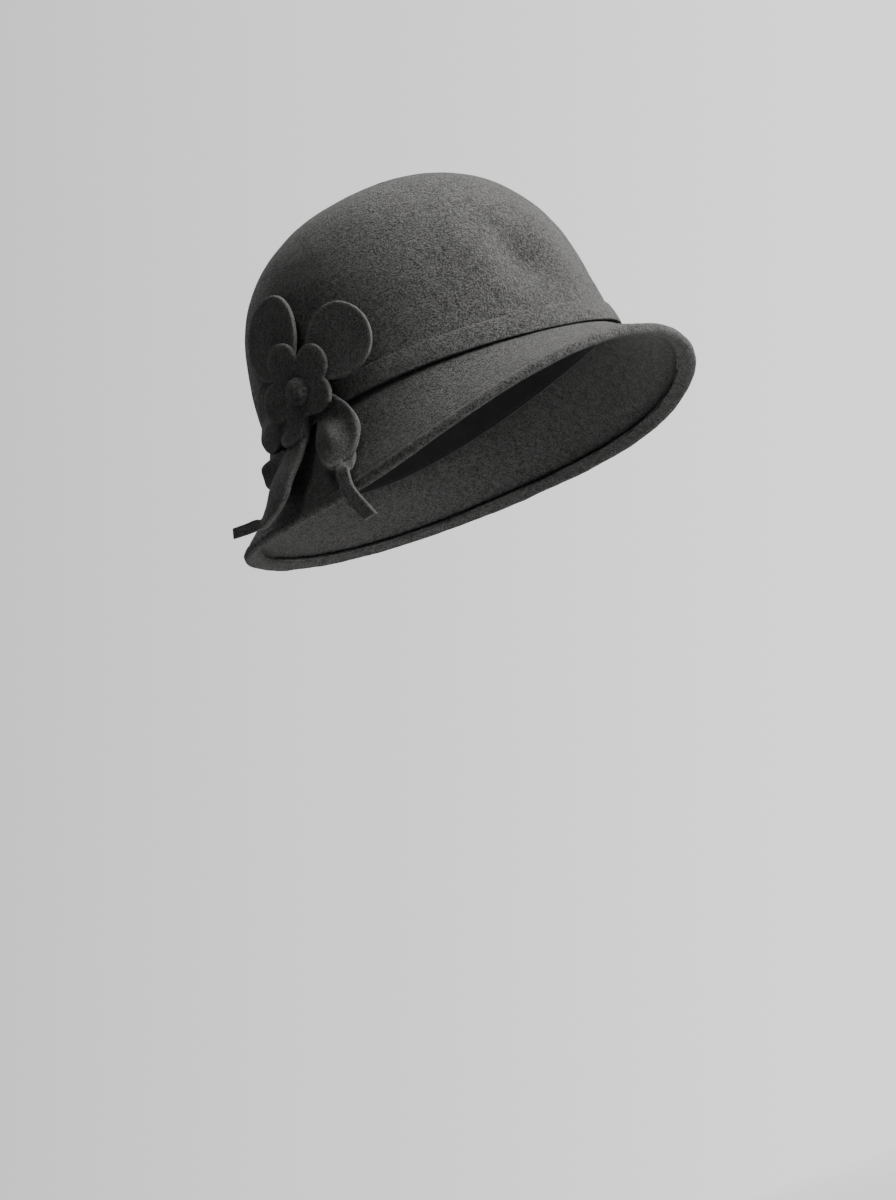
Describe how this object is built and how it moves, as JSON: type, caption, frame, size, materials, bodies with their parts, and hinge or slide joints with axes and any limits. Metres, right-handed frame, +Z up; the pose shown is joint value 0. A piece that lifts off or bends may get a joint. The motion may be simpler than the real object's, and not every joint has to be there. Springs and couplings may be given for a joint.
{
  "type": "felt cloche hat",
  "caption": "Felt cloche hat with a round crown, a bell brim with a wired hem, a felt band, a layered felt flower with a covered button, and a ribbon sweatband.",
  "frame": {"origin": "middle of the head opening, at the mean height of the line where the crown meets the brim", "axes": "+Z up along the crown, the front of the hat faces -Y, the wearer's right and the flower are at -X"},
  "size_m": [0.2274, 0.2804, 0.1784],
  "materials": {
    "crown_felt": "charcoal wool felt, matt, fine matted fibre",
    "brim_felt": "charcoal wool felt, matt, fine matted fibre",
    "band_felt": "charcoal wool felt strip, matt",
    "trim_felt": "charcoal wool felt, cut edges slightly lighter",
    "ribbon": "dark ribbed ribbon, low sheen",
    "label_cloth": "plain woven cloth, matt",
    "thread": "sewing thread, low sheen",
    "wire": "satin",
    "button_metal": "satin"
  },
  "bodies": {
    "hat": {"crown": "crown_felt", "brim": "brim_felt", "brim_wire": "wire", "wire_joiner": "wire", "hatband": "band_felt", "sweatband": "ribbon", "size_label": "label_cloth", "head_seam_stitching": "thread", "hem_stitching": "thread", "hatband_stitching": "thread", "sweatband_stitching": "thread", "flower_backing": "trim_felt", "petal_upper_front": "trim_felt", "petal_upper_back": "trim_felt", "petal_lower_back": "trim_felt", "petal_folded": "trim_felt", "leaf_under": "trim_felt", "leaf_twist": "trim_felt", "small_flower": "trim_felt", "button_cover": "trim_felt", "button_shell": "button_metal", "button_back": "button_metal", "button_shank": "button_metal", "trim_stitching": "thread"},
    "front_tail": {"tail_front": "trim_felt"},
    "back_tail": {"tail_back": "trim_felt"}
  },
  "joints": [
    {"name": "front_tail_swing", "type": "hinge", "parent": "hat", "child": "front_tail", "pos_m": [-0.1065, -0.043, -0.026], "axis": [-0.309, 0.9511, 0], "range_deg": [0, 40], "stiffness_Nm_per_rad": 0.002},
    {"name": "back_tail_swing", "type": "hinge", "parent": "hat", "child": "back_tail", "pos_m": [-0.115, 0.014, -0.0325], "axis": [0, 0, 1], "range_deg": [0, 40], "stiffness_Nm_per_rad": 0.002}
  ]
}
